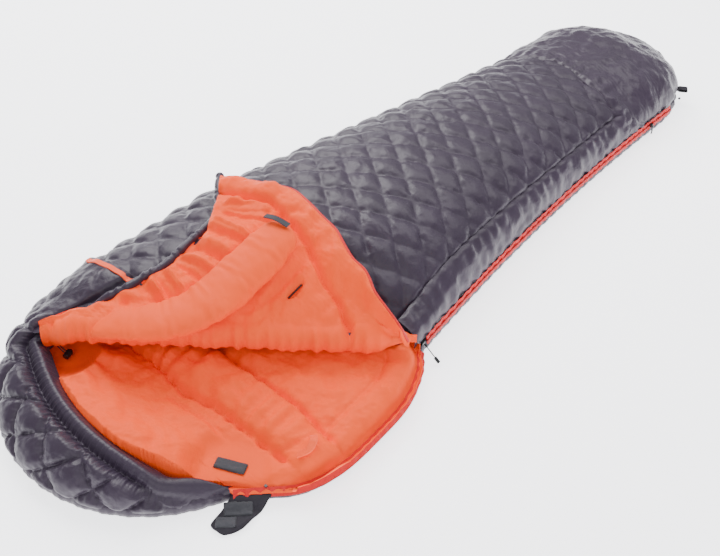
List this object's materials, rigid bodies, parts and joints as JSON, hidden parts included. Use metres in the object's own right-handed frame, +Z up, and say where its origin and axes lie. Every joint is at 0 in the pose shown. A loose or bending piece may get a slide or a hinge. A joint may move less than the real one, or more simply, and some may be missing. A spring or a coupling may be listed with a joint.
{
  "type": "mummy sleeping bag",
  "caption": "Quilted mummy sleeping bag laid out flat, with a side zip, hood, draft collars and its loose upper quilt folded back at the mouth.",
  "frame": {"origin": "on the underside, on the bag's long centre line, half way between its head end and its foot end", "axes": "+Z up, +Y towards the foot, +X towards the side with the zip"},
  "size_m": [0.8696, 2.33, 0.2867],
  "materials": {
    "shell_fabric": "satin taffeta, dark purple-grey",
    "lining_fabric": "soft matt taffeta, orange",
    "filling": "synthetic hollow-fibre filling",
    "zip_fabric": "woven zip tape, red",
    "zip_coil": "moulded coil, red",
    "touch_fastener": "hook-and-loop tape, dark grey",
    "black_cord": "braided cord",
    "black_plastic": "moulded plastic",
    "slider_metal": "black painted die-casting",
    "webbing": "woven webbing"
  },
  "bodies": {
    "bag": {"bottom_shell": "shell_fabric", "bottom_insulation": "filling", "bottom_lining": "lining_fabric", "top_shell": "shell_fabric", "top_insulation": "filling", "top_lining": "lining_fabric", "zip_side_band": "shell_fabric", "foot_box_shell": "shell_fabric", "foot_box_insulation": "filling", "foot_box_lining": "lining_fabric", "neck_shell": "shell_fabric", "neck_insulation": "filling", "neck_lining": "lining_fabric", "neck_trim": "lining_fabric", "hood_shell": "shell_fabric", "hood_insulation": "filling", "hood_lining": "lining_fabric", "hood_rim_channel": "shell_fabric", "rim_drawcord": "black_cord", "drawcord_strand_near": "black_cord", "drawcord_strand_far": "black_cord", "lower_draft_collar": "lining_fabric", "collar_tab": "lining_fabric", "loop_patch": "touch_fastener", "hang_loop": "webbing", "zip_chain": "zip_coil", "zip_tape_closed": "zip_fabric", "zip_tape_lower": "zip_fabric", "zip_teeth_lower": "zip_coil", "zip_stops": "black_plastic", "draft_tube": "lining_fabric"},
    "flap": {"flap_shell": "shell_fabric", "flap_insulation": "filling", "flap_lining": "lining_fabric", "zip_facing": "lining_fabric", "zip_tape_upper": "zip_fabric", "zip_teeth_upper": "zip_coil", "rim_binding": "shell_fabric", "upper_draft_collar": "lining_fabric", "collar_fastener_strip": "touch_fastener", "pocket_panel": "lining_fabric", "pocket_zip": "black_plastic"},
    "main_slider": {"zip_slider": "slider_metal"},
    "main_pull": {"pull_tab": "slider_metal", "pull_cord": "black_cord", "pull_end": "black_plastic"},
    "foot_slider": {"foot_slider": "slider_metal"},
    "foot_pull": {"foot_pull": "slider_metal"},
    "cord_lock": {"cord_lock_barrel": "black_plastic"},
    "cord_lock_button": {"cord_lock_plunger": "black_plastic"},
    "closure_tab": {"closure_tab": "shell_fabric", "tab_hook_patch": "touch_fastener"}
  },
  "joints": [
    {"name": "flap_fold", "type": "hinge", "parent": "bag", "child": "flap", "pos_m": [0.392, -0.352, 0.088], "axis": [0.6958, 0.7145, -0.0725], "range_deg": [0, 115]},
    {"name": "zip_slide", "type": "slide", "parent": "bag", "child": "main_slider", "axis": [-0.1378, 0.9905, 0], "range_m": [0, 0.55]},
    {"name": "pull_swing", "type": "hinge", "parent": "main_slider", "child": "main_pull", "pos_m": [0.38643, -0.31697, 0.045], "axis": [0.1378, -0.9905, 0], "range_deg": [0, 120]},
    {"name": "foot_zip_slide", "type": "slide", "parent": "bag", "child": "foot_slider", "axis": [0.0473, -0.9989, 0], "range_m": [0, 0.36]},
    {"name": "foot_pull_swing", "type": "hinge", "parent": "foot_slider", "child": "foot_pull", "pos_m": [0.27149, 0.83035, 0.045], "axis": [0.0473, -0.9989, 0], "range_deg": [0, 120]},
    {"name": "cord_lock_slide", "type": "slide", "parent": "bag", "child": "cord_lock", "axis": [-0.6678, -0.258, 0.6982], "range_m": [0, 0.035]},
    {"name": "cord_lock_press", "type": "slide", "parent": "cord_lock", "child": "cord_lock_button", "axis": [0.3604, -0.9328, 0], "range_m": [0, 0.003], "stiffness_N_per_m": 300, "springref_m": -0.001},
    {"name": "tab_fold", "type": "hinge", "parent": "bag", "child": "closure_tab", "pos_m": [0.397, -0.876, 0.026], "axis": [-0.6739, -0.7389, 0], "range_deg": [0, 168]}
  ]
}
